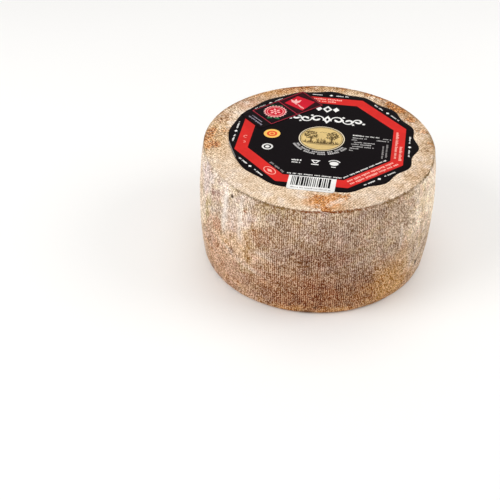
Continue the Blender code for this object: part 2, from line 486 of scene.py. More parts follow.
def drum_rings():
    """Rings of the drum from the base's middle to the top's."""
    base = ((0.0, 1), *BASE_COARSE, (BASE_FINE_INNER, COLUMNS))
    rings = [Ring(radius, 0.0, 0.0, -1.0, columns) for radius, columns in base]
    foot_flat, rim_flat = FOOT_RADIUS - FOOT_ROUND, RIM_RADIUS - RIM_ROUND
    side_top = HEIGHT - RIM_ROUND
    for i in range(ROUND_STEPS):
        turn = math.pi / 2 * i / ROUND_STEPS
        out, down = math.sin(turn), math.cos(turn)
        radius, height = foot_flat + FOOT_ROUND * out, FOOT_ROUND * (1.0 - down)
        rings.append(Ring(radius, height, out, -down, COLUMNS))
    for i in range(SIDE_ROWS + 1):
        z = FOOT_ROUND + (side_top - FOOT_ROUND) * i / SIDE_ROWS
        rings.append(Ring(side_radius(z), z, 1.0, 0.0, COLUMNS))
    for i in range(1, ROUND_STEPS + 1):
        turn = math.pi / 2 * i / ROUND_STEPS
        out, up = math.cos(turn), math.sin(turn)
        radius, height = rim_flat + RIM_ROUND * out, side_top + RIM_ROUND * up
        rings.append(Ring(radius, height, out, up, COLUMNS))
    for i in range(1, TOP_FINE_ROWS + 1):
        radius = rim_flat + (TOP_FINE_INNER - rim_flat) * i / TOP_FINE_ROWS
        rings.append(Ring(radius, HEIGHT, 0.0, 1.0, COLUMNS))
    top = (*TOP_COARSE, (0.0, 1))
    rings += [Ring(radius, HEIGHT, 0.0, 1.0, columns) for radius, columns in top]
    return rings


def lumps(points, size, shift):
    """Smooth noise from about -1 to 1, with lumps of that size; each shift has its own."""
    return np.array([noise.noise(Vector(point)) for point in points / size + shift])


def fold_shapes(angle, z):
    """The folds of the cloth as (share of its full height, full height), at places of the side."""
    for place, low, high, width, height, lean in FOLDS:
        turn = np.remainder(angle - math.radians(place) + math.pi, 2 * math.pi) - math.pi
        sway = FOLD_SWAY * np.sin(z / FOLD_SWAY_HEIGHT + place)
        across = turn * BELLY_RADIUS + sway - lean * (z - (low + high) / 2)
        across = across / width / math.hypot(1.0, lean)
        soft = (high - low) / 3
        ends = smooth(z, low, low + soft) * smooth(z, high, high - min(soft, FOLD_TOP_FADE))
        yield np.exp(-across * across) * ends, height


def fold_height(angle, z):
    """How far the folds stand out."""
    return sum(share * height for share, height in fold_shapes(angle, z))


def fold_paleness_and_highlight(angle, z):
    """How pale the folds are, partly as a painted highlight: 1 on the crests of the high ones."""
    total = sum(share * min(height / PALE_FOLD, 1.0) for share, height in fold_shapes(angle, z))
    return np.minimum(total, 1.0)


def rib_wave(angle, z, points):
    """The cloth's ribs from -1 to 1, clearest at the front, and fading in patches."""
    waver = RIB_WAVER * lumps(points, RIB_WAVER_SIZE, shift=3.0)
    front = 1.0 - RIB_FADE * (1.0 - np.cos(angle - math.radians(RIB_FRONT)))
    patches = RIB_LEVEL + RIB_CHANGE * lumps(points, RIB_PATCH_SIZE, shift=9.0)
    ends = smooth(z, *RIB_FOOT) * smooth(HEIGHT - z, *RIB_TOP)
    return np.cos(RIBS * angle + waver) * front * patches * ends


def ring_points(ring):
    """Points of one ring before its relief, about the row frame's origin, and their angles."""
    angle = np.arange(ring.columns) * (2 * math.pi / ring.columns)
    high = (ring.height / HEIGHT) ** 2
    wider = high * waves(RIM_WAVES, angle) + (1.0 - high) * waves(FOOT_WAVES, angle)
    radii = ring.radius * (1.0 + wider / BELLY_RADIUS)
    x = radii * np.cos(angle)
    y = radii * np.sin(angle)
    z = ring.height + high * top_change(x, y)
    return np.stack([x + AXIS[0], y + AXIS[1], z], axis=1), angle


def relief(points, angle, ring):
    """How far a ring's points move outwards, and its ribs and folds as drawn by the colour."""
    if ring.up < 0.0 and ring.out == 0.0:
        return np.zeros((3, len(angle)))
    side = sum(depth * lumps(points, size, size) for size, depth in LUMPS)
    ribs = rib_wave(angle, points[:, 2], points)
    side = side + fold_height(angle, points[:, 2]) + RIB_DEPTH * ribs
    if ring.height == HEIGHT - RIM_ROUND:
        uneven = CREASE_LUMPS * lumps(points, CREASE_LUMP_SIZE, shift=21.0)
        side -= CREASE_DEPTH * (CREASE_EVEN + uneven)
    from_label = np.hypot(points[:, 0] - LABEL_CENTRE[0], points[:, 1] - LABEL_CENTRE[1])
    covered = LABEL_RADIUS + LOBE_DEPTH
    open_top = smooth(from_label, covered, covered + OPEN_TOP)
    top = sum(depth * lumps(points, size, size) for size, depth in TOP_LUMPS) * open_top
    folds = fold_paleness_and_highlight(angle, points[:, 2])
    on_top = max(ring.up, 0.0)
    on_side = 1.0 - on_top
    return side * on_side + top * on_top, ribs * on_side, folds * on_side


def over_rim(ring):
    """How far a ring lies over the rim, inwards along the top; less than 0 down the side."""
    return (RIM_RADIUS - ring.radius) - (HEIGHT - ring.height)


def join_rings(low, low_count, high, high_count):
    """Faces between two rings of points, from the first index of each and their counts. A ring
    of one point is a pole; else one count is the other or a whole number of times the other."""
    if low_count == high_count:
        pairs = [(i, (i + 1) % low_count) for i in range(low_count)]
        return [(low + i, low + j, high + j, high + i) for i, j in pairs]
    upwards = low_count < high_count
    few, few_count = (low, low_count) if upwards else (high, high_count)
    many, many_count = (high, high_count) if upwards else (low, low_count)
    times = many_count // few_count
    half = times if few_count == 1 else times // 2
    faces = []
    for i in range(few_count):
        a, b = few + i, few + (i + 1) % few_count
        fan = [many + (times * i + k) % many_count for k in range(times + 1)]
        faces += [(a, fan[k + 1], fan[k]) for k in range(half)]
        if half < times:
            faces.append((a, b, fan[half]))
            faces += [(b, fan[k + 1], fan[k]) for k in range(half, times)]
    return faces if upwards else [face[::-1] for face in faces]


# The rind's bake map, in millimetres on one square: the side in four strips, in two rows, and
# under them the top and the base as discs.
MAP_SIZE = 412.0
MAP_GAP = 4.0
STRIPS = 4


def rind_map(mesh, rings, side_first, side_faces):
    """Writes the map: each face of the side from its column and its row, the rest from above."""
    counts = np.zeros(len(mesh.polygons), np.int32)
    mesh.polygons.foreach_get("loop_total", counts)
    corners = np.zeros(len(mesh.loops), np.int32)
    mesh.loops.foreach_get("vertex_index", corners)
    places = np.zeros(len(mesh.vertices) * 3)
    mesh.vertices.foreach_get("co", places)
    places = places.reshape(-1, 3)[corners] / MM
    disc = MAP_GAP + BELLY_RADIUS
    on_top = places[:, 2] > HEIGHT / 2
    across = np.where(on_top, disc, MAP_SIZE - disc)
    flat = np.stack([across + places[:, 0], disc - MAP_GAP + places[:, 1]], axis=1)

    first_loop = counts[:side_first].sum()
    rows = [i for i, ring in enumerate(rings) if ring.out > 0.0]
    section = [(ring.radius, ring.height) for ring in rings[rows[0] - 1 : rows[-1] + 2]]
    steps = [math.dist(a, b) for a, b in zip(section, section[1:])]
    along = np.concatenate([[0.0], np.cumsum(steps)])
    row_count = side_faces // COLUMNS
    per_strip = COLUMNS // STRIPS
    width = 2 * math.pi * BELLY_RADIUS / STRIPS
    columns = np.arange(COLUMNS)
    strip = columns // per_strip
    left = MAP_GAP + (strip % 2) * (width + MAP_GAP)
    base = 2 * disc + MAP_GAP + (strip // 2) * (along[row_count] + MAP_GAP)
    u0 = left + (columns % per_strip) / per_strip * width
    u1 = u0 + width / per_strip
    for row in range(row_count):
        v0 = base + along[row]
        v1 = base + along[row + 1]
        outline = ((u0, v0), (u1, v0), (u1, v1), (u0, v1))
        quads = np.stack([np.stack(corner, axis=1) for corner in outline], axis=1)
        start = first_loop + row * COLUMNS * 4
        flat[start : start + COLUMNS * 4] = quads.reshape(-1, 2)
    layer = mesh.uv_layers.new(name="OFBake")
    layer.data.foreach_set("uv", (flat / MAP_SIZE).astype(np.float32).ravel())


def linear(colour):
    """An sRGB colour from 0 to 255 as the linear values that a shader takes."""
    shares = [value / 255.0 for value in colour]
    return tuple(
        share / 12.92 if share <= 0.04045 else ((share + 0.055) / 1.055) ** 2.4
        for share in shares
    ) + (1.0,)


def side_spots(table):
    """The rows of a table of the side as (centre, turn, size, colour, strength)."""
    spots = []
    for angle, height, wide, tall, tint, strength in table:
        around = math.radians(angle)
        x = AXIS[0] + BELLY_RADIUS * math.cos(around)
        y = AXIS[1] + BELLY_RADIUS * math.sin(around)
        spots.append(((x, y, height), angle, (SPOT_DEPTH, wide, tall), tint, strength))
    return spots


def top_spots(table):
    """The rows of a table of the top as (centre, turn, size, colour, strength)."""
    return [
        ((x, y, HEIGHT), turn, (wide, tall, SPOT_DEPTH), tint, strength)
        for x, y, wide, tall, turn, tint, strength in table
    ]


def painted(points, ground, spots):
    """The colour and the cover at each point when spots are laid over a ground, one by one."""
    colour = np.tile(np.array(linear(ground)[:3]), (len(points), 1))
    cover = np.zeros((len(points), 1))
    for centre, turn, size, tint, strength in spots:
        away = points - np.array(centre)
        c, s = math.cos(math.radians(turn)), math.sin(math.radians(turn))
        along = away[:, 0] * c + away[:, 1] * s
        across = away[:, 1] * c - away[:, 0] * s
        length = np.sqrt(
            (along / size[0]) ** 2 + (across / size[1]) ** 2 + (away[:, 2] / size[2]) ** 2
        )
        share = strength * smooth(length, 1.0, SPOT_FULL)[:, None]
        colour = colour + (np.array(linear(tint)[:3]) - colour) * share
        cover = cover + (1.0 - cover) * share
    return colour, cover


def strayed(points):
    """The points moved about a little, so that the spots that they are painted with are uneven."""
    moved = points.copy()
    for size, reach in STRAYS:
        away = [lumps(points, size, shift) for shift in STRAY_SHIFTS]
        moved += reach * np.stack(away, axis=1)
    return moved


def keep(mesh, name, values):
    """Keeps a number, or a colour, at each of the mesh's points."""
    kind, field = ("FLOAT_VECTOR", "vector") if values.shape[-1] == 3 else ("FLOAT", "value")
    kept = mesh.attributes.new(name, kind, "POINT")
    kept.data.foreach_set(field, values.astype(np.float32).ravel())


def paint(mesh, points):
    """Keeps the rind's broad colours, some partly painted light, its stains and where its moulds
    are.
    """
    uneven = strayed(points)
    keep(mesh, "side_tint_and_painted_light", painted(uneven, SIDE_STONE, side_spots(SIDE_WASHES_AND_PAINTED_LIGHT))[0])
    keep(mesh, "top_tint", painted(uneven, TOP_CREAM, top_spots(TOP_WASHES))[0])
    rim = [(angle, HEIGHT, wide, RIM_MOULD_REACH, *rest) for angle, wide, *rest in RIM_MOULD]
    for name, places, ground, spots in (
        ("stain", uneven, OCHRE, side_spots(SIDE_STAINS)),
        ("rim_mould", points, OLIVE, side_spots(rim)),
    ):
        colour, cover = painted(places, ground, spots)
        keep(mesh, name, colour)
        keep(mesh, name + "_cover", cover)
    mould = [(*place, ORANGE, strength) for *place, strength in TOP_MOULD]
    keep(mesh, "top_mould", painted(uneven, ORANGE, top_spots(mould))[1])


def make_rind():
    """The drum as one closed mesh, which keeps what its material needs at each point: the ribs, the
    folds, the distance over the rim, and the broad colours, some of which are partly painted light."""
    rings = drum_rings()
    layers = []
    for ring in rings:
        places, angle = ring_points(ring)
        moved, ribs, folds = relief(places, angle, ring)
        x, y = np.cos(angle) * ring.out, np.sin(angle) * ring.out
        z = np.full_like(angle, max(ring.up, 0.0))
        places = places + moved[:, None] * np.stack([x, y, z], axis=1)
        places[:, 2] = np.maximum(places[:, 2], 0.0)
        layers.append((places, ribs, folds, np.full(len(places), over_rim(ring))))
    points, ribs, folds, over = [np.concatenate(layer) for layer in zip(*layers)]

    faces = []
    start = side_first = side_faces = 0
    for low, high in zip(rings, rings[1:]):
        joined = join_rings(start, low.columns, start + low.columns, high.columns)
        start += low.columns
        if low.out > 0.0 or high.out > 0.0:
            side_first = side_first or len(faces)
            side_faces += len(joined)
        faces += joined

    mesh = bpy.data.meshes.new("rind")
    mesh.from_pydata((points * MM).tolist(), [], faces)
    mesh.shade_smooth()
    for name, values in (("ribs", ribs), ("folds", folds), ("over_rim", over)):
        keep(mesh, name, values[:, None])
    paint(mesh, points)
    rind_map(mesh, rings, side_first, side_faces)
    return add_object("rind_drum", mesh)


class Value:
    """What a node gives. A sum, difference or product of values is a node too."""

    def __init__(self, graph, socket):
        self.graph = graph
        self.socket = socket

    def __add__(self, other):
        return self.graph.math("ADD", self, other)

    def __sub__(self, other):
        return self.graph.math("SUBTRACT", self, other)

    def __mul__(self, other):
        return self.graph.math("MULTIPLY", self, other)


class Graph:
    """A tree of shader nodes, and short names for the nodes that its colours are made with."""

    def __init__(self, tree):
        self.tree = tree

    def put(self, socket, value):
        if isinstance(value, Value):
            self.tree.links.new(value.socket, socket)
        else:
            socket.default_value = value

    def node(self, kind, inputs, output=0, **settings):
        """Adds a node with these settings and inputs, and gives one of its outputs."""
        made = self.tree.nodes.new(kind)
        for name, value in settings.items():
            setattr(made, name, value)
        for name, value in inputs.items():
            self.put(made.inputs[name], value)
        return Value(self, made.outputs[output])

    def place(self):
        """Place in the row frame, in millimetres."""
        place = self.node("ShaderNodeTexCoord", {}, "Object")
        return self.node("ShaderNodeVectorMath", {0: place, "Scale": 1.0 / MM}, operation="SCALE")

    def given(self, name, colour=False):
        """A number or a colour that the mesh keeps at each of its points."""
        output = "Color" if colour else "Fac"
        return self.node("ShaderNodeAttribute", {}, output, attribute_name=name)

    def part(self, vector, axis):
        return self.node("ShaderNodeSeparateXYZ", {0: vector}, axis)

    def math(self, operation, a, b=0.0, clamp=False):
        return self.node("ShaderNodeMath", {0: a, 1: b}, operation=operation, use_clamp=clamp)

    def vector(self, operation, a, b):
        return self.node("ShaderNodeVectorMath", {0: a, 1: b}, operation=operation)

    def stretch(self, place, scale):
        """The place with each direction multiplied, so that noise there is drawn out."""
        return self.vector("MULTIPLY", place, scale)

    def step(self, value, low, high, least=0.0, most=1.0):
        """A soft step from least, at low, to most, at high."""
        ends = {"From Min": low, "From Max": high, "To Min": least, "To Max": most}
        inputs = {"Value": value, **ends}
        return self.node("ShaderNodeMapRange", inputs, interpolation_type="SMOOTHSTEP")

    def noise(self, place, size, detail=2.0, rough=0.5, colour=False):
        """Noise about 0.5 whose lumps are size across."""
        inputs = {"Vector": place, "Scale": 1.0 / size, "Detail": detail, "Roughness": rough}
        return self.node("ShaderNodeTexNoise", inputs, "Color" if colour else "Fac")

    def cells(self, place, size, output="Color"):
        """For small cells of that size: a colour of its own for each, or the distance from its
        middle."""
        return self.node("ShaderNodeTexVoronoi", {"Vector": place, "Scale": 1.0 / size}, output)

    def dots(self, place, size, radius, share):
        """Round dots of about that radius, in so many of the cells of that size; 1 in a dot."""
        distance = self.cells(place, size, "Distance")
        near = self.step(distance, radius / size, 0.4 * radius / size)
        chosen = self.step(self.part(self.cells(place, size), 0), share, share * 0.9)
        return near * chosen

    def turned_about_z(self, place, turn):
        """The place turned about Z, so that its Y runs across lines that lie at that angle."""
        inputs = {"Vector": place, "Angle": math.radians(-turn)}
        return self.node("ShaderNodeVectorRotate", inputs, rotation_type="Z_AXIS")

    def mix(self, share, a, b, blend="MIX"):
        inputs = {"Factor": share, "A": a, "B": b}
        return self.node("ShaderNodeMix", inputs, "Result", data_type="RGBA", blend_type=blend)

    def shaded(self, colour, tone, dark, light):
        """The colour multiplied by dark where the tone is 0 and by light where it is 1."""
        return self.mix(1.0, colour, self.mix(tone, dark, light), "MULTIPLY")

    def lifted(self, colour, shift):
        """The colour made lighter or darker by as much in each channel, as the eye counts it."""
        seen = self.node("ShaderNodeGamma", {"Color": colour, "Gamma": 1.0 / EYE_GAMMA})
        moved = self.vector("ADD", seen, shift)
        moved = self.vector("MAXIMUM", moved, (DARKEST, DARKEST, DARKEST))
        return self.node("ShaderNodeGamma", {"Color": moved, "Gamma": EYE_GAMMA})

    def spot(self, place, centre, turn, size):
        """1 in the middle of an ellipsoid and 0 outside it; turn is in radians round X, Y, Z."""
        inputs = {"Vector": place, "Location": centre, "Rotation": turn, "Scale": size}
        inside = self.node("ShaderNodeMapping", inputs, vector_type="TEXTURE")
        length = self.node("ShaderNodeVectorMath", {0: inside}, "Value", operation="LENGTH")
        return self.step(length, 1.0, SPOT_FULL)

    def bump(self, height, depth):
        """A bump of so many millimetres from a height of 0 to 1."""
        return self.node("ShaderNodeBump", {"Height": height, "Distance": depth * MM})


class Surface(Graph):
    """A new material, and the tree that makes its look."""

    def __init__(self, name):
        self.material = bpy.data.materials.new(name)
        self.material.use_nodes = True
        super().__init__(self.material.node_tree)

    def finish(self, colour, roughness, gloss, normal=None):
        """Gives the look to the shader, and the material to whoever wears it."""
        shader = self.tree.nodes["Principled BSDF"]
        self.put(shader.inputs["Base Color"], colour)
        self.put(shader.inputs["Roughness"], roughness)
        self.put(shader.inputs["Specular IOR Level"], gloss)
        if normal:
            self.put(shader.inputs["Normal"], normal)
        return self.material


def side_colour(graph, place, patches, broken):
    """The side's colour, partly its own and partly painted light in some broad washes, with small
    clouds of bloom, mauve, ochre and pink, stained, and pale on its folds, partly as a painted
    highlight on their crests."""
    colour = graph.given("side_tint_and_painted_light", colour=True)
    broad = graph.step(graph.noise(place, BROAD_SIZE), 0.34, 0.66)
    colour = graph.shaded(colour, broad, *BROAD_SHADES)
    hues = graph.noise(place, HUE_SIZE, colour=True)
    for value, low, high, cloud in (
        (patches, 0.50, 0.67, BLOOM_CLOUD),
        (patches, 0.50, 0.33, BARE_CLOUD),
        (graph.part(hues, "X"), 0.51, 0.66, VIOLET_CLOUD),
        (graph.part(hues, "Y"), 0.51, 0.66, OCHRE_CLOUD),
        (graph.part(hues, "Z"), 0.51, 0.66, PINK_CLOUD),
    ):
        colour = graph.mix(graph.step(value, low, high), colour, cloud, "MULTIPLY")
    cover = graph.math("MULTIPLY", graph.given("stain_cover"), broken, clamp=True)
    colour = graph.mix(cover, colour, graph.given("stain", colour=True))
    # The folds' crests are made pale: partly the rind's own colour, partly a painted highlight.
    return graph.mix(graph.given("folds") * FOLD_COVER, colour, linear(FOLD_PALE_AND_HIGHLIGHT))


def top_colour(graph, place, patches, grit, zone):
    """The top's own colour with clouds of tan and bloom, and crusts and brown dots in its mould."""
    colour = graph.given("top_tint", colour=True)
    colour = graph.mix(graph.step(patches, 0.50, 0.34, most=0.5), colour, linear(TOP_TAN))
    colour = graph.mix(graph.step(patches, 0.50, 0.66, most=0.6), colour, linear(TOP_BLOOM))
    crust = graph.noise(place, CRUST_SIZE, detail=3.0, rough=0.7)
    crust = crust + (grit - 0.5) * 0.5 + (zone - 0.7) * 0.42
    for tint, low, high, least, most in CRUSTS:
        share = zone * graph.step(crust, low, high, least, most)
        colour = graph.mix(share, colour, linear(tint))
    dots = graph.step(graph.noise(place, DOT_SIZE, rough=0.7), 0.55, 0.59, most=0.90)
    return graph.mix(zone * dots, colour, linear(BROWN))


def rim_colour(graph, place, over, colour):
    """The colour with the ragged dotted line of mould between the top and the side."""
    strays = graph.noise(place, RIM_STRAY_SIZE, rough=0.7)
    inward = graph.step(graph.part(place, "Y"), -30.0, 30.0, most=RIM_LINE_INWARD)
    middle = over + (strays - 0.40) * RIM_LINE_STRAY - inward
    line = graph.step(graph.math("ABSOLUTE", middle), RIM_LINE_EDGE, RIM_LINE_FULL)
    dotted = graph.step(graph.noise(place, RIM_DOT_SIZE, rough=0.7), 0.42, 0.54, least=0.15)
    share = line * dotted * graph.given("rim_mould_cover")
    return graph.mix(share, colour, graph.given("rim_mould", colour=True))


def marked(graph, place, colour):
    """The colour with the side's small dark marks on it."""
    for centre, turn, size, tint, strength in side_spots(SIDE_MARKS):
        spot = graph.spot(place, centre, (0.0, 0.0, math.radians(turn)), size)
        colour = graph.mix(spot * strength, colour, linear(tint))
    return colour


def specks(graph, place, on_top, size, radius, share, at_side, at_top):
    """Round specks, of one strength at the side and of another on the top."""
    return graph.dots(place, size, radius, share) * graph.step(on_top, 0.0, 1.0, at_side, at_top)


def thread_lines(graph, place, grit):
    """The threads of the cloth on the top, from -1 to 1."""
    across = graph.part(graph.turned_about_z(place, THREAD_TURN), "Y") + grit * THREAD_WAVER
    return graph.math("SINE", across * (2 * math.pi / THREAD_PITCH))


def rind_tone(graph, place, grit, zone, on_top, pits):
    """How light each grain of the rind is, from 0 to 1."""
    close = graph.stretch(place, GRAIN_PACKING)
    close = graph.stretch(close, graph.step(on_top, 0.0, 1.0, 1.0, TOP_PACKING))
    fine = graph.noise(close, GRAIN_SIZE, detail=1.0, rough=0.8) - 0.5
    cells = graph.part(graph.cells(close, CELL_SIZE), 0) - 0.5
    grain = fine * FINE_GRAIN + cells * CELL_GRAIN + graph.given("ribs") * RIB_GRAIN
    gain = graph.step(on_top, 0.0, 1.0, SIDE_GRAIN, TOP_GRAIN)
    gain = gain + zone * MOULD_GRAIN - graph.given("folds") * FOLD_CALM
    grit_gain = graph.step(zone, 0.0, 0.8, GRIT_GRAIN, MOULD_GRIT)
    flecks = specks(graph, place, on_top, *FLECKS)
    threads = thread_lines(graph, place, grit) * on_top * THREAD_TONE
    tone = grain * gain + (grit - 0.5) * grit_gain + (flecks - pits) + threads
    return graph.math("ADD", tone, 0.5, clamp=True)


def speckled(graph, place, tone, on_top, colour):
    """The colour made lighter and darker by its grain, with more contrast at the left."""
    side_gain = graph.step(graph.part(place, "X"), *SIDE_CONTRAST)
    top_gain = graph.step(graph.part(place, "X"), *TOP_CONTRAST)
    top_gain = top_gain + graph.step(graph.part(place, "Y"), *BACK_CONTRAST)
    shift = (tone - PLAIN_TONE) * graph.step(on_top, 0.0, 0.3, side_gain, top_gain)
    colour = graph.lifted(colour, graph.stretch(shift, SPECKLE))
    return graph.mix(graph.step(tone, 0.65, 1.05, most=0.28), colour, linear(FLECK))


def rind_material():
    """Dry natural rind: cream on top and stone to brown at the side, speckled all over, ribbed by
    the cloth, stained with moulds, and darker along the rim; the side's colour also holds some
    painted light, and the pale fold crests are partly a painted highlight."""
    graph = Surface("rind")
    place = graph.place()
    over = graph.given("over_rim")
    zone = graph.given("top_mould")
    patches = graph.noise(place, PATCH_SIZE, detail=4.0, rough=0.6)
    grit = graph.noise(graph.stretch(place, GRIT_PACKING), GRIT_SIZE, detail=3.0, rough=0.7)
    broken = graph.step(grit, 0.35, 0.62, least=0.5, most=1.2)
    on_top = graph.step(over + (grit - 0.5) * BORDER_STRAY, -0.6, 0.4)

    side = side_colour(graph, place, patches, broken)
    top = top_colour(graph, place, patches, grit, zone)
    pits = specks(graph, place, on_top, *PITS)
    tone = rind_tone(graph, place, grit, zone, on_top, pits)
    colour = speckled(graph, place, tone, on_top, graph.mix(on_top, side, top))
    colour = marked(graph, place, rim_colour(graph, place, over, colour))
    roughness = graph.step(tone, 0.0, 1.0, *RIND_ROUGHNESS)
    return graph.finish(colour, roughness, RIND_GLOSS, graph.bump(tone - pits, RIND_BUMP))


# Inks, each as (colour, roughness, gloss). The last one is the bare paper of the back.
LABEL_INKS = {
    "black": ((13, 7, 10), 0.60, 0.05),
    "red": ((210, 38, 33), 0.55, 0.10),
    "white": ((238, 236, 232), 0.55, 0.20),
    "silver": ((180, 177, 175), 0.55, 0.20),
    "blush": ((240, 172, 158), 0.55, 0.20),
    "grey": ((140, 136, 134), 0.55, 0.20),
    "cream": ((238, 222, 190), 0.50, 0.25),
    "gold": ((218, 188, 122), 0.45, 0.25),
    "olive": ((88, 68, 30), 0.50, 0.15),
    "yellow": ((244, 192, 92), 0.50, 0.20),
    "orange": ((222, 76, 32), 0.50, 0.20),
    "paper": ((206, 200, 190), 0.80, 0.20),
}
STICKER_INKS = {
    "night": ((16, 6, 10), 0.50, 0.05),
    "maroon": ((44, 3, 12), 0.50, 0.06),
    "wine": ((180, 44, 62), 0.50, 0.06),
    "scarlet": ((200, 20, 42), 0.50, 0.08),
    "rose": ((242, 180, 176), 0.45, 0.20),
    "leaf": ((20, 104, 62), 0.45, 0.15),
    "mist": ((158, 150, 164), 0.45, 0.15),
    "backing": ((200, 196, 190), 0.80, 0.20),
}
# The ink's clouds and the paper's fibres: their sizes, what they multiply the ink's colour by,
# how far the fibres change the roughness, and how deep they are.
INK_CLOUD_SIZE = 14.0
FIBRE_SIZE = 0.7
INK_SHADES = ((0.88, 0.88, 0.88, 1.0), (1.08, 1.08, 1.08, 1.0))
UNEVEN_GLOSS = 0.06
FIBRE_BUMP = 0.02


def ink_material(name, colour, roughness, gloss):
    """Printed paper: the ink lies a little unevenly over a fine paper grain."""
    graph = Surface(name)
    place = graph.place()
    cloud = graph.noise(place, INK_CLOUD_SIZE, detail=3.0, rough=0.6)
    fibre = graph.noise(place, FIBRE_SIZE, rough=0.6)
    tone = graph.step(cloud * 0.6 + fibre * 0.4, 0.35, 0.65)
    dull = graph.step(fibre, 0.3, 0.7, roughness - UNEVEN_GLOSS, roughness + UNEVEN_GLOSS)
    colour = graph.shaded(linear(colour), tone, *INK_SHADES)
    return graph.finish(colour, dull, gloss, graph.bump(fibre, FIBRE_BUMP))


def turned(point, turn):
    """A point turned about the origin by an angle in degrees."""
    c, s = math.cos(math.radians(turn)), math.sin(math.radians(turn))
    return (point[0] * c - point[1] * s, point[0] * s + point[1] * c)


def arc(centre, radius, first, last, steps):
    """Points on an arc, from one angle to another."""
    angles = [math.radians(first + (last - first) * i / steps) for i in range(steps + 1)]
    return [(centre[0] + radius * math.cos(a), centre[1] + radius * math.sin(a)) for a in angles]


def spiral(centre, start, end, first, last, steps=26):
    """Points on a spiral, from one radius and angle to another."""
    points = []
    for share in (i / steps for i in range(steps + 1)):
        x, y = turned((start + (end - start) * share, 0.0), first + (last - first) * share)
        points.append((centre[0] + x, centre[1] + y))
    return points


def around(centre, radius, steps, tall=1.0):
    """Points all round an oval of that radius across."""
    angles = [2 * math.pi * i / steps for i in range(steps)]
    return [
        (centre[0] + radius * math.cos(a), centre[1] + tall * radius * math.sin(a))
        for a in angles
    ]


# Blocks that stand for words: the fewest and the most in a group; and as shares of their
# line's height their widths, heights and gaps, and the least room that another group takes.
GROUP = (3, 8)
BLOCK_WIDTHS = (0.38, 0.66)
BLOCK_HEIGHTS = (0.72, 0.72, 1.0)
BLOCK_GAP = 0.2
LEAST_ROOM = 0.6
# The same along an arc, with the gap between groups.
ARC_BLOCK_WIDTHS = (0.5, 0.7)
ARC_BLOCK_GAP = 0.22
ARC_GROUP_GAP = 0.9


class Print:
    """Flat printed shapes on one sheet, in millimetres. Each lies over those before it."""

    def __init__(self, seed):
        self.shapes = []
        self.draw = random.Random(seed)
        self.origin = (0.0, 0.0)
        self.turn = 0.0

    def at(self, origin=(0.0, 0.0), turn=0.0):
        """What is drawn from here on is turned, then moved to this origin."""
        self.origin = origin
        self.turn = turn

    def shape(self, outline, ink):
        points = [turned(point, self.turn) for point in outline]
        points = [(x + self.origin[0], y + self.origin[1]) for x, y in points]
        pairs = zip(points, points[1:] + points[:1])
        area = sum(x0 * y1 - x1 * y0 for (x0, y0), (x1, y1) in pairs)
        self.shapes.append((points if area > 0.0 else points[::-1], ink))

    def disc(self, centre, radius, ink, steps=32, tall=1.0):
        self.shape(around(centre, radius, steps, tall), ink)

    def discs(self, centre, *rows):
        """Discs about one centre, each as (radius, ink, steps)."""
        for radius, ink, steps in rows:
            self.disc(centre, radius, ink, steps)

    def box(self, left, low, right, high, ink):
        self.shape([(left, low), (right, low), (right, high), (left, high)], ink)

    def ribbon(self, points, start, end, ink):
        """A stroke along points, as wide as start at first and as end at last."""
        left, right = [], []
        for i, (x, y) in enumerate(points):
            before, after = points[max(i - 1, 0)], points[min(i + 1, len(points) - 1)]
            dx, dy = after[0] - before[0], after[1] - before[1]
            length = math.hypot(dx, dy)
            half = (start + (end - start) * i / (len(points) - 1)) / 2
            left.append((x - dy / length * half, y + dx / length * half))
            right.append((x + dy / length * half, y - dx / length * half))
        self.shape(left + right[::-1], ink)

    def lozenge(self, centre, wide, tall, ink):
        x, y = centre
        self.shape([(x - wide, y), (x, y - tall), (x + wide, y), (x, y + tall)], ink)

    def words(self, left, right, base, tall, ink, gap=0.9):
        """Small plain blocks in groups, which stand for a line of text that isn't written."""
        x = left
        while x < right - tall * LEAST_ROOM:
            for _ in range(self.draw.randint(*GROUP)):
                wide = tall * self.draw.uniform(*BLOCK_WIDTHS)
                if x + wide > right:
                    break
                high = tall * self.draw.choice(BLOCK_HEIGHTS)
                self.box(x, base, x + wide, base + high, ink)
                x += wide + tall * BLOCK_GAP
            x += tall * gap

    def arc_words(self, radius, first, last, tall, ink):
        """The same blocks along an arc about the origin."""
        angle = first
        while angle < last:
            for _ in range(self.draw.randint(*GROUP)):
                wide = math.degrees(tall * self.draw.uniform(*ARC_BLOCK_WIDTHS) / radius)
                if angle + wide > last:
                    break
                inner = arc((0.0, 0.0), radius, angle, angle + wide, 1)
                outer = arc((0.0, 0.0), radius + tall, angle + wide, angle, 1)
                self.shape(inner + outer, ink)
                angle += wide + math.degrees(tall * ARC_BLOCK_GAP / radius)
            angle += math.degrees(tall * ARC_GROUP_GAP / radius)


def label_edge(angle):
    """Distance from the label's centre to its edge: lobes, and straight under the panel."""
    from_panel = math.remainder(angle + math.pi / 2, 2 * math.pi)
    if abs(from_panel) < math.atan2(PANEL_HALF_WIDTH, PANEL_EDGE):
        return PANEL_EDGE / math.cos(from_panel)
    depth = LOBE_DEPTH * (LOBE_SHARE + LOBE_CHANGE * math.cos(angle))
    trim = LEFT_TRIM * (1.0 - math.cos(angle)) / 2
    from_fold = math.remainder(angle - math.radians(TURNED_UP_ANGLE), 2 * math.pi)
    trim += TURNED_UP * math.exp(-((math.degrees(from_fold) / TURNED_UP_SPREAD) ** 2))
    return LABEL_RADIUS - trim + depth * math.cos(LOBES * angle)


# Points round the label's edge.
EDGE_STEPS = 256


def octagon(apothem):
    radius = apothem / math.cos(math.pi / 8)
    return arc((0.0, 0.0), radius, 22.5, 22.5 + 315.0, 7)


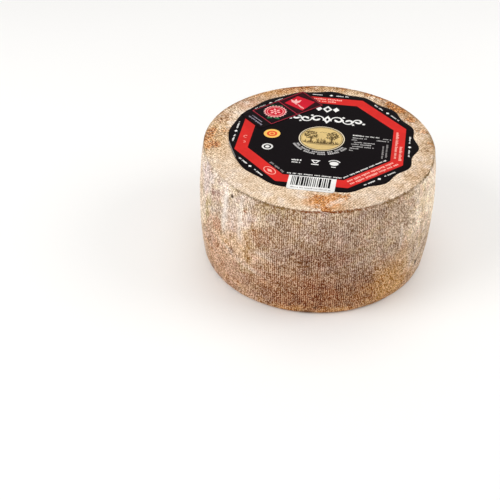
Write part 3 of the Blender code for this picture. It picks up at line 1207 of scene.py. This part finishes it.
# Lines of blocks on the red band as (turn of its side from the top, left, right, base), and
# inside it as (turn, left, right, height, ink).
BAND_LINES = (
    (-90.0, -21.0, 21.0, 60.4),
    (-90.0, 1.0, 22.0, 64.2),
    (-135.0, -24.0, 23.0, 60.2),
    (-135.0, -26.0, 24.0, 64.0),
    (0.0, -23.0, 12.0, 64.0),
    (0.0, -17.0, 6.0, 60.4),
)
INNER_BASE = 54.6
INNER_LINES = (
    (135.0, -22.0, -2.0, 2.1, "grey"),
    (180.0, -22.0, 22.0, 1.6, "white"),
    (225.0, -22.0, 23.0, 1.6, "white"),
)
# Lines of blocks at the right as (left, right, base, ink).
SMALL_PRINT = (
    (25.0, 47.5, 8.8, "white"),
    (25.2, 37.0, 4.8, "silver"),
    (24.6, 30.0, 1.8, "silver"),
    (26.8, 44.0, -1.6, "silver"),
    (24.8, 42.0, -4.8, "silver"),
    (26.0, 44.0, -8.2, "silver"),
    (24.2, 32.0, -11.4, "silver"),
    (24.0, 27.4, -14.6, "silver"),
    (50.0, 57.0, 7.4, "silver"),
    (45.0, 56.0, 4.0, "silver"),
)
OVAL_CENTRE = (-14.0, 63.0)
# The panel's bars: how far they keep from its sides, where they end below the label's centre,
# their widths and the gaps between them.
BARS_LEFT, BARS_RIGHT = 2.6, 3.6
BARS_HEAD, BARS_FOOT = 58.7, 71.0
BAR_WIDTHS = (0.7, 0.7, 1.2, 1.8)
BAR_GAPS = (0.6, 0.7, 1.1)
# The medallion's trees and hedge: how many strokes each has, and where they stand.
TREE_STROKES = 64
TREE_FOOT = -7.0
HEDGE_STROKES = 56
HEDGE_FOOT = -7.8
HEDGE_HALF_WIDTH = 14.6
# Scrolls to one side of the middle one as (across, up, radius, which way up), and the round
# marks at the left as (centre, discs).
SCROLLS = ((8.8, 0.4, 5.9, 1.0), (18.2, -0.6, 5.0, -1.0), (26.2, 0.4, 4.0, 1.0))
ROUND_MARKS = (
    (
        (-41.7, 0.7),
        (6.9, "yellow", 40),
        (4.4, "orange", 32),
        (2.5, "yellow", 20),
        (1.6, "orange", 16),
    ),
    ((-42.2, -20.0), (4.6, "white", 32), (3.2, "black", 28), (1.8, "white", 20)),
)


def print_margin(sheet):
    """White marks in the black margin, on each of the eight sides but the panel's."""
    for turn in (-90.0, -45.0, 0.0, 45.0, 90.0, 135.0, 225.0):
        sheet.at(turn=turn)
        sheet.words(-16.5, -5.5, 71.3, 1.5, "white")
        sheet.lozenge((0.0, 72.2), 1.7, 1.4, "white")
        sheet.words(4.5, 15.5, 71.5, 1.5, "white")
    sheet.at()


def print_band(sheet):
    """Lines of blocks on the red band, an oval at the lower left and two curls at the left."""
    for turn, left, right, base in BAND_LINES:
        sheet.at(turn=turn)
        sheet.words(left, right, base, 2.3, "blush", gap=0.5)
    sheet.at(turn=135.0)
    sheet.disc(OVAL_CENTRE, 6.4, "blush", tall=0.62)
    sheet.disc(OVAL_CENTRE, 5.7, "red", tall=0.58)
    sheet.lozenge(OVAL_CENTRE, 3.4, 1.6, "blush")
    sheet.at(turn=90.0)
    sheet.ribbon(spiral((-7.0, 62.4), 2.4, 0.8, 200.0, -60.0, 12), 0.4, 0.8, "blush")
    sheet.ribbon(spiral((-16.0, 62.6), 1.8, 0.6, 20.0, -200.0, 10), 0.4, 0.7, "blush")
    sheet.at()


def print_inner_line(sheet):
    """One line of blocks inside the red band, along its three lower sides."""
    for turn, left, right, tall, ink in INNER_LINES:
        sheet.at(turn=turn)
        sheet.words(left, right, INNER_BASE, tall, ink, gap=0.7)
    sheet.at()


def print_panel(sheet):
    """A panel of bars with no digits under them."""
    left, right = -PANEL_HALF_WIDTH, PANEL_HALF_WIDTH
    sheet.box(left, -PANEL_EDGE, right, -PANEL_TOP, "white")
    x = left + BARS_LEFT
    while x < right - BARS_RIGHT:
        wide = sheet.draw.choice(BAR_WIDTHS)
        sheet.box(x, -BARS_FOOT, x + wide, -BARS_HEAD, "black")
        x += wide + sheet.draw.choice(BAR_GAPS)
    sheet.words(left + 3.0, right - 3.0, -74.4, 1.5, "grey", gap=0.4)


def print_tree(sheet, centre, wide, tall):
    """A bushy tree of many short strokes, with a forked trunk down to the ground."""
    x, y = centre
    for lean in (-0.9, 0.2, 1.1):
        trunk = [(x, TREE_FOOT), (x + 0.4 * lean, y - tall * 0.6), (x + 2.2 * lean, y)]
        sheet.ribbon(trunk, 1.1, 0.4, "olive")
    for _ in range(TREE_STROKES):
        angle, out = sheet.draw.uniform(0.0, 2 * math.pi), math.sqrt(sheet.draw.uniform(0.05, 1.0))
        at = (x + wide * out * math.cos(angle), y + tall * out * math.sin(angle))
        turn = sheet.draw.uniform(0.0, math.pi)
        dx, dy = 1.1 * math.cos(turn), 1.1 * math.sin(turn)
        bend = (at[0] - 0.3 * dy, at[1] + 0.3 * dx)
        sheet.ribbon([(at[0] - dx, at[1] - dy), bend, (at[0] + dx, at[1] + dy)], 0.6, 0.9, "olive")


def print_medallion(sheet):
    """A gold disc with a plain drawing of two trees, a hedge and rough ground."""
    sheet.discs((0.0, 0.0), (19.0, "cream", 72), (18.2, "black", 72), (17.5, "gold", 72))
    sheet.ribbon(arc((0.0, 0.0), 16.6, 205.0, -25.0, 40), 0.3, 0.3, "olive")
    print_tree(sheet, (-8.6, 4.6), 5.8, 6.4)
    print_tree(sheet, (8.6, 4.8), 5.0, 6.2)
    for k in range(HEDGE_STROKES):
        x = HEDGE_HALF_WIDTH * (2 * k / (HEDGE_STROKES - 1) - 1)
        high = sheet.draw.uniform(1.6, 5.0) + (3.4 if abs(x) < 3.6 else 0.0)
        lean = sheet.draw.uniform(-1.6, 1.6)
        twig = [(0.0, 0.0), (0.3 * lean, high / 2), (lean, high)]
        sheet.ribbon([(x + dx, HEDGE_FOOT + dy) for dx, dy in twig], 0.6, 0.4, "olive")
    for k in range(3):
        ends, y = HEDGE_HALF_WIDTH - 1.6 * k, -7.4 - 0.9 * k
        sheet.ribbon([(-ends, y), (0.0, y - 0.6), (ends, y)], 0.5, 0.4, "olive")
    sheet.ribbon([(-2.6, 9.0), (-0.6, 10.2), (1.4, 9.2), (3.0, 9.8)], 0.5, 0.5, "olive")
    sheet.arc_words(20.6, 209.0, 331.0, 1.8, "silver")
    sheet.arc_words(23.2, 207.0, 333.0, 2.0, "silver")


def print_ornaments(sheet):
    """Plain ornaments: scrolls about a lozenge, a row of lozenges, a seal and a ring."""
    sheet.at((1.1, 31.0), 0.0)
    sheet.lozenge((0.0, 0.0), 3.6, 6.6, "white")
    sheet.lozenge((0.0, 0.0), 1.3, 2.8, "black")
    for mirror in (-1.0, 1.0):
        for x, y, radius, up in SCROLLS:
            curl = spiral((0.0, 0.0), radius, 1.2, 205.0, -190.0)
            sheet.ribbon([(mirror * (x + a), y + up * b) for a, b in curl], 1.0, 2.7, "white")
        sheet.disc((mirror * 31.2, -2.4), 1.3, "white", 14)
        sheet.lozenge((mirror * 13.4, 5.2), 1.6, 1.6, "white")
        sheet.lozenge((mirror * 22.4, -5.0), 1.4, 1.4, "white")
    sheet.at((-0.6, 48.4), 0.0)
    sheet.lozenge((0.0, 0.0), 4.2, 5.6, "white")
    sheet.lozenge((0.0, 0.0), 2.1, 2.9, "black")
    for mirror in (-1.0, 1.0):
        sheet.lozenge((mirror * 7.4, 0.0), 2.9, 4.0, "white")
    sheet.at()
    for centre, *rows in ROUND_MARKS:
        sheet.discs(centre, *rows)


def print_icons(sheet):
    """Three small plain marks and the blocks of a text at the right."""
    sheet.words(-20.0, -12.0, -36.6, 1.9, "white", gap=0.4)
    sheet.words(-19.5, -12.4, -39.8, 1.9, "white", gap=0.4)
    sheet.shape([(-4.6, -33.4), (3.0, -33.4), (0.2, -38.0), (-1.8, -38.0)], "white")
    sheet.shape([(-2.9, -34.5), (1.3, -34.5), (-0.3, -37.0), (-1.3, -37.0)], "black")
    sheet.box(-3.8, -40.4, 2.2, -39.2, "white")
    sheet.disc((14.2, -36.2), 3.6, "white", 28, tall=0.8)
    sheet.ribbon(arc((14.2, -36.6), 5.2, 150.0, 30.0, 10), 1.0, 1.0, "white")
    sheet.box(12.4, -41.8, 16.0, -40.7, "white")
    for left, right, base, ink in SMALL_PRINT:
        sheet.words(left, right, base, 1.6, ink, gap=0.6)
    sheet.at(turn=-90.0)
    sheet.words(0.0, 21.0, 53.4, 1.7, "grey", gap=0.5)
    sheet.words(3.0, 22.0, 50.4, 1.7, "grey", gap=0.5)
    sheet.at()


def draw_label():
    sheet = Print(5)
    rays = around((0.0, 0.0), 1.0, EDGE_STEPS)
    reach = [label_edge(math.atan2(y, x)) for x, y in rays]
    sheet.shape([(r * x, r * y) for r, (x, y) in zip(reach, rays)], "black")
    sheet.shape(octagon(BAND_OUTER), "red")
    sheet.shape(octagon(BAND_INNER), "black")
    # A grey line along the turned-up edge: partly the paper's back, partly a painted highlight.
    sheet.ribbon(TURNED_UP_BACK_AND_HIGHLIGHT, 0.9, 0.6, "grey")
    print_margin(sheet)
    print_band(sheet)
    print_inner_line(sheet)
    print_panel(sheet)
    print_medallion(sheet)
    print_ornaments(sheet)
    print_icons(sheet)
    return sheet


def rounded_box(left, low, right, high, corner):
    """Outline of a box with round corners."""
    outline = []
    for x, y, first in (
        (right - corner, low + corner, -90.0),
        (right - corner, high - corner, 0.0),
        (left + corner, high - corner, 90.0),
        (left + corner, low + corner, 180.0),
    ):
        outline += arc((x, y), corner, first, first + 90.0, 5)
    return outline


def frame_lines(sheet, left, low, right, high, wide, ink):
    sheet.box(left, low, right, low + wide, ink)
    sheet.box(left, high - wide, right, high, ink)
    sheet.box(left, low, left + wide, high, ink)
    sheet.box(right - wide, low, right, high, ink)


# The sticker's seal and the points round its edge, and the outlines of its petals and leaves,
# each about its own root.
SEAL_RADIUS = 9.6
SEAL_LOBES = 22
SEAL_LOBE_DEPTH = 0.7
SEAL_STEPS = 6 * SEAL_LOBES
PETAL = ((1.2, 0.0), (3.2, 1.1), (5.2, 0.0), (3.2, -1.1))
SEAL_LEAF = ((0.7, 0.4), (4.6, 1.7), (5.4, -1.5), (3.4, -1.0), (0.9, -0.6))
SPRIG_LEAF = ((0.0, 0.0), (4.0, 1.5), (8.4, 0.0), (4.0, -1.5))


def draw_seal(sheet, centre):
    """A round seal with a lobed edge, a flower in it, and two leaves above it and below it."""
    turns = [2 * math.pi * i / SEAL_STEPS for i in range(SEAL_STEPS)]
    reach = [SEAL_RADIUS + SEAL_LOBE_DEPTH * math.cos(SEAL_LOBES * turn) for turn in turns]
    rays = around((0.0, 0.0), 1.0, SEAL_STEPS)
    edge = [(centre[0] + r * x, centre[1] + r * y) for r, (x, y) in zip(reach, rays)]
    sheet.shape(edge, "rose")
    sheet.discs(centre, (8.5, "scarlet", 48), (7.2, "rose", 48), (6.7, "scarlet", 48))
    for k in range(6):
        petal = [turned(point, 60.0 * k) for point in PETAL]
        sheet.shape([(centre[0] + x, centre[1] + y) for x, y in petal], "rose")
    sheet.disc(centre, 0.9, "rose", 12)
    sheet.at(turned(centre, STICKER_TURN))
    for mirror in (-1.0, 1.0):
        sheet.shape([(mirror * x, y - 11.0) for x, y in SEAL_LEAF], "leaf")
        sheet.shape([(mirror * x, 10.3 + 0.5 * y) for x, y in SEAL_LEAF], "leaf")
    sheet.at(turn=STICKER_TURN)


def draw_sticker():
    """The sticker's print, along and out from the label's centre."""
    sheet = Print(11)
    sheet.at(turn=STICKER_TURN)
    left, right = STICKER_ALONG - STICKER_LENGTH / 2, STICKER_ALONG + STICKER_LENGTH / 2
    low, high = STICKER_OUT - STICKER_WIDTH / 2, STICKER_OUT + STICKER_WIDTH / 2
    sheet.shape(rounded_box(left, low, right, high, STICKER_CORNER), "night")
    frame_lines(sheet, -20.7, 42.4, 34.4, 70.6, 0.6, "wine")
    sheet.box(7.1, 43.1, 33.7, 69.9, "maroon")
    sheet.box(6.7, 42.4, 7.4, 70.6, "wine")
    draw_seal(sheet, (-5.7, 57.6))
    sheet.shape([(9.6, 64.8), (26.0, 67.4), (32.2, 50.4), (14.4, 45.3)], "scarlet")
    for turn in (12.0, 46.0, 80.0):
        leaf = [turned(point, turn) for point in SPRIG_LEAF]
        sheet.shape([(16.6 + x, 58.4 + y) for x, y in leaf], "rose")
    sheet.at((0.0, 0.0), STICKER_TURN + 90.0)
    sheet.words(47.4, 62.0, -18.0, 1.9, "rose", gap=0.5)
    sheet.words(46.0, 66.0, 27.6, 1.6, "mist", gap=0.6)
    sheet.words(50.0, 64.0, 24.8, 1.2, "mist", gap=0.6)
    return sheet


def sheet_lift(x, y):
    """How far the label's face stands over the drum's top: glued down, but for a lifted edge."""
    radius, angle = np.hypot(x, y), np.degrees(np.arctan2(y, x))
    turn = (angle - CURL_ANGLE + 180.0) % 360.0 - 180.0
    edge = smooth(radius, LABEL_RADIUS - CURL_WIDTH, LABEL_RADIUS + LOBE_DEPTH)
    return PAPER_LIFT + CURL_HEIGHT * edge * np.exp(-((turn / CURL_SPREAD) ** 2))


def loose_points(outline):
    """A grid of points inside an outline, so that the sheet can follow the drum's top."""
    xs, ys = [x for x, _ in outline], [y for _, y in outline]
    middle = (sum(xs) / len(xs), sum(ys) / len(ys))
    points = []
    row = 0
    y = min(ys)
    while y < max(ys):
        x = min(xs) + (PAPER_GRID / 2 if row % 2 else 0.0)
        while x < max(xs):
            wider = [m + (value - m) * GRID_CLEAR for m, value in zip(middle, (x, y))]
            if inside(wider, outline):
                points.append((x, y))
            x += PAPER_GRID
        y += PAPER_GRID * GRID_ROWS
        row += 1
    return points


def inside(point, outline):
    x, y = point
    within = False
    for (x0, y0), (x1, y1) in zip(outline, outline[1:] + outline[:1]):
        if (y0 > y) != (y1 > y) and x < x0 + (x1 - x0) * (y - y0) / (y1 - y0):
            within = not within
    return within


def make_sheet(name, drawing, inks, lift):
    """One sheet of paper whose triangles take the ink of the last shape drawn there."""
    points, faces = [], []
    for outline, _ in drawing.shapes:
        faces.append(list(range(len(points), len(points) + len(outline))))
        points += outline
    points += loose_points(drawing.shapes[0][0])
    corners, _, triangles, _, _, sources = geometry.delaunay_2d_cdt(
        [Vector(point) for point in points], [], faces, 1, SAME_POINT, True
    )
    x = np.array([corner.x for corner in corners])
    y = np.array([corner.y for corner in corners])
    z = top_height(x + LABEL_CENTRE[0], y + LABEL_CENTRE[1]) + lift(x, y)
    places = np.stack([x + LABEL_CENTRE[0], y + LABEL_CENTRE[1], z], axis=1) * MM
    mesh = bpy.data.meshes.new(name)
    kept = [i for i, source in enumerate(sources) if 0 in source]
    mesh.from_pydata(places.tolist(), [], [triangles[i] for i in kept])
    names = list(inks)
    for ink in names:
        mesh.materials.append(ink_material(name + "_" + ink, *inks[ink]))
    chosen = [names.index(drawing.shapes[max(sources[i])][1]) for i in kept]
    mesh.polygons.foreach_set("material_index", chosen)
    mesh.shade_smooth()
    piece = add_object(name, mesh)
    paper = piece.modifiers.new("thickness", "SOLIDIFY")
    paper.thickness = PAPER * MM
    paper.offset = -1.0
    paper.material_offset = len(names)
    paper.material_offset_rim = 0
    return piece


def make_floor():
    half = FLOOR_SIZE / 2
    mesh = bpy.data.meshes.new("floor")
    corners = [(-half, -half, 0.0), (half, -half, 0.0), (half, half, 0.0), (-half, half, 0.0)]
    mesh.from_pydata(corners, [], [(0, 1, 2, 3)])
    graph = Surface("floor")
    tone = graph.step(graph.noise(graph.place(), 400.0), 0.3, 0.7)
    colour = graph.shaded(linear(FLOOR_COLOUR), tone, (0.99, 0.99, 0.99, 1.0), WHITE)
    mesh.materials.append(graph.finish(colour, 0.9, 0.1))
    floor = add_object("floor", mesh)


def make_world():
    """White where the camera sees it, and a dimmer even light on the object."""
    world = bpy.data.worlds.new("studio")
    world.use_nodes = True
    graph = Graph(world.node_tree)
    light = graph.node("ShaderNodeBackground", {"Color": WHITE, "Strength": WORLD_LIGHT})
    seen = graph.node("ShaderNodeBackground", {"Color": WHITE})
    from_camera = graph.node("ShaderNodeLightPath", {}, "Is Camera Ray")
    both = graph.node("ShaderNodeMixShader", {0: from_camera, 1: light, 2: seen})
    graph.put(graph.tree.nodes["World Output"].inputs["Surface"], both)
    bpy.context.scene.world = world


def make_lights():
    target = Vector((0.0, 0.0, HEIGHT / 2 * MM))
    for name, place, width, watts in LIGHTS:
        lamp = bpy.data.lights.new(name, "AREA")
        lamp.shape = "DISK"
        lamp.size = width
        lamp.energy = watts
        holder = add_object(name, lamp)
        holder.location = place
        holder.rotation_euler = (target - Vector(place)).to_track_quat("-Z", "Y").to_euler()


def make_camera():
    lens = bpy.data.cameras.new("camera")
    lens.lens = CAMERA_LENS
    holder = add_object("camera", lens)
    turn = Matrix.Rotation(math.radians(CAMERA_TURN), 4, "Z")
    tilt = Matrix.Rotation(math.radians(90.0 - CAMERA_DOWN), 4, "X")
    roll = Matrix.Rotation(math.radians(CAMERA_ROLL), 4, "Z")
    holder.matrix_world = Matrix.Translation(CAMERA_PLACE) @ turn @ tilt @ roll
    bpy.context.scene.camera = holder


def add_piece(piece, node):
    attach(piece, "root")
    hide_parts(node)


make_camera()
make_floor()
make_world()
make_lights()
bpy.context.scene.view_settings.view_transform = "Standard"

rind = make_rind()
rind.data.materials.append(rind_material())
add_piece(rind, "cheese_drum")
label = make_sheet("printed_label", draw_label(), LABEL_INKS, sheet_lift)
add_piece(label, "paper_label")
sticker = make_sheet(
    "printed_sticker",
    draw_sticker(),
    STICKER_INKS,
    lambda x, y: sheet_lift(x, y) - PAPER_LIFT + STICKER_LIFT,
)
add_piece(sticker, "corner_sticker")
